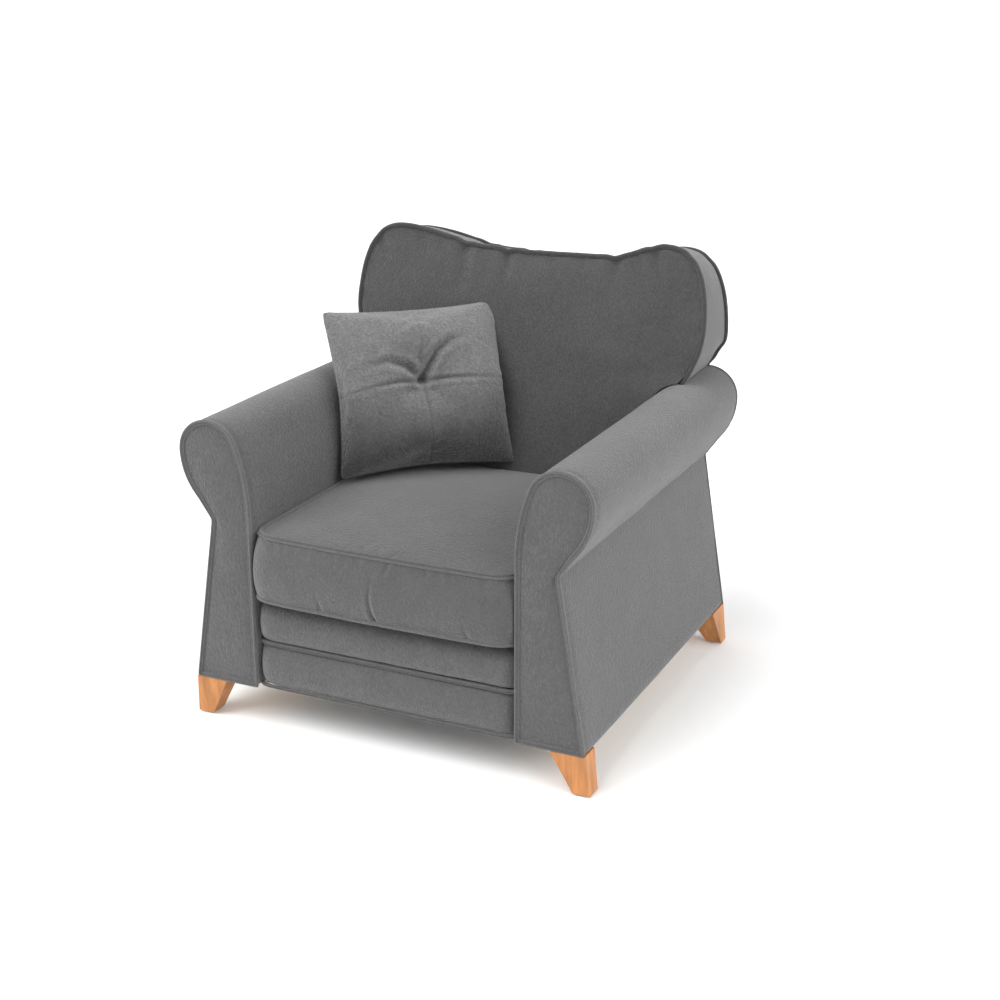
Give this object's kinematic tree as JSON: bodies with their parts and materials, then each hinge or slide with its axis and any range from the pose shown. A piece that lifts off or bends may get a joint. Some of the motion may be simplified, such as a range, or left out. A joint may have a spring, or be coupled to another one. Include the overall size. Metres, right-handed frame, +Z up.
{
  "type": "upholstered armchair",
  "caption": "Low armchair with rolled arms, a reclined eared back, a loose piped seat cushion, a tufted scatter cushion and tapered timber legs.",
  "frame": {"origin": "centre of the chair's outline on the floor", "axes": "+X towards the sitter's left arm seen from the front as the right-hand side, +Y towards the back, +Z up"},
  "size_m": [1, 0.952, 1.04],
  "materials": {
    "velvet": "mid-grey short-pile velvet, matte with a soft sheen",
    "piping_velvet": "the same velvet cut on the bias over cord, a little darker",
    "scatter_velvet": "lighter grey crushed-pile velvet",
    "leg_timber": "orange-toned beech, satin lacquer",
    "frame_timber": "sawn softwood, unfinished",
    "plywood": "birch plywood, unfinished",
    "foam": "open-cell upholstery foam, cream",
    "fibre_filling": "loose polyester fibre in a lining",
    "lining_cloth": "black spun-bonded lining cloth",
    "webbing": "woven elastic webbing",
    "steel": "zinc-plated steel",
    "zip_metal": "moulded zip on a woven tape",
    "nylon": "moulded nylon"
  },
  "bodies": {
    "root": {"front_rail": "frame_timber", "rear_rail": "frame_timber", "seat_rear_rail": "frame_timber", "side_rail_left": "frame_timber", "side_rail_right": "frame_timber", "corner_blocks": "frame_timber", "seat_springs": "steel", "spring_clips": "steel", "seat_platform": "lining_cloth", "dust_cover": "lining_cloth", "arm_front_board_left": "plywood", "arm_front_board_right": "plywood", "arm_rear_board_left": "plywood", "arm_rear_board_right": "plywood", "arm_roll_rails": "frame_timber", "arm_base_boards": "plywood", "arm_outer_board_left": "plywood", "arm_outer_board_right": "plywood", "back_post_left": "frame_timber", "back_post_right": "frame_timber", "back_top_rail": "frame_timber", "back_lower_rail": "frame_timber", "back_ear_boards": "plywood", "back_webbing": "webbing", "front_leg_left": "leg_timber", "front_leg_right": "leg_timber", "rear_leg_left": "leg_timber", "rear_leg_right": "leg_timber", "leg_bolts": "steel", "tee_nuts": "steel", "glides": "nylon", "arm_pad_left": "foam", "arm_pad_right": "foam", "arm_roll_foam_left": "foam", "arm_roll_foam_right": "foam", "arm_cover_left": "velvet", "arm_cover_right": "velvet", "arm_facing_left": "velvet", "arm_facing_right": "velvet", "arm_welt_left": "velvet", "arm_welt_right": "velvet", "arm_rear_facings": "velvet", "front_border_lower": "velvet", "front_border_upper": "velvet", "back_foam": "foam", "back_front_panel": "velvet", "back_border": "velvet", "back_piping_front": "piping_velvet", "back_piping_rear": "piping_velvet", "outside_back_panel": "velvet"},
    "seat_cushion": {"seat_foam": "foam", "seat_cover": "velvet", "seat_piping_top": "piping_velvet", "seat_piping_bottom": "piping_velvet", "seat_zip": "zip_metal"},
    "scatter_cushion": {"scatter_filling": "fibre_filling", "scatter_front_panels": "scatter_velvet", "scatter_back_panel": "scatter_velvet", "scatter_tie": "scatter_velvet", "scatter_zip": "nylon"}
  },
  "joints": [
    {"name": "seat_cushion_lift", "type": "slide", "parent": "root", "child": "seat_cushion", "axis": [0, 0, 1], "range_m": [0, 0.35]},
    {"name": "scatter_cushion_lift", "type": "slide", "parent": "seat_cushion", "child": "scatter_cushion", "axis": [0, 0, 1], "range_m": [0, 0.4]}
  ]
}
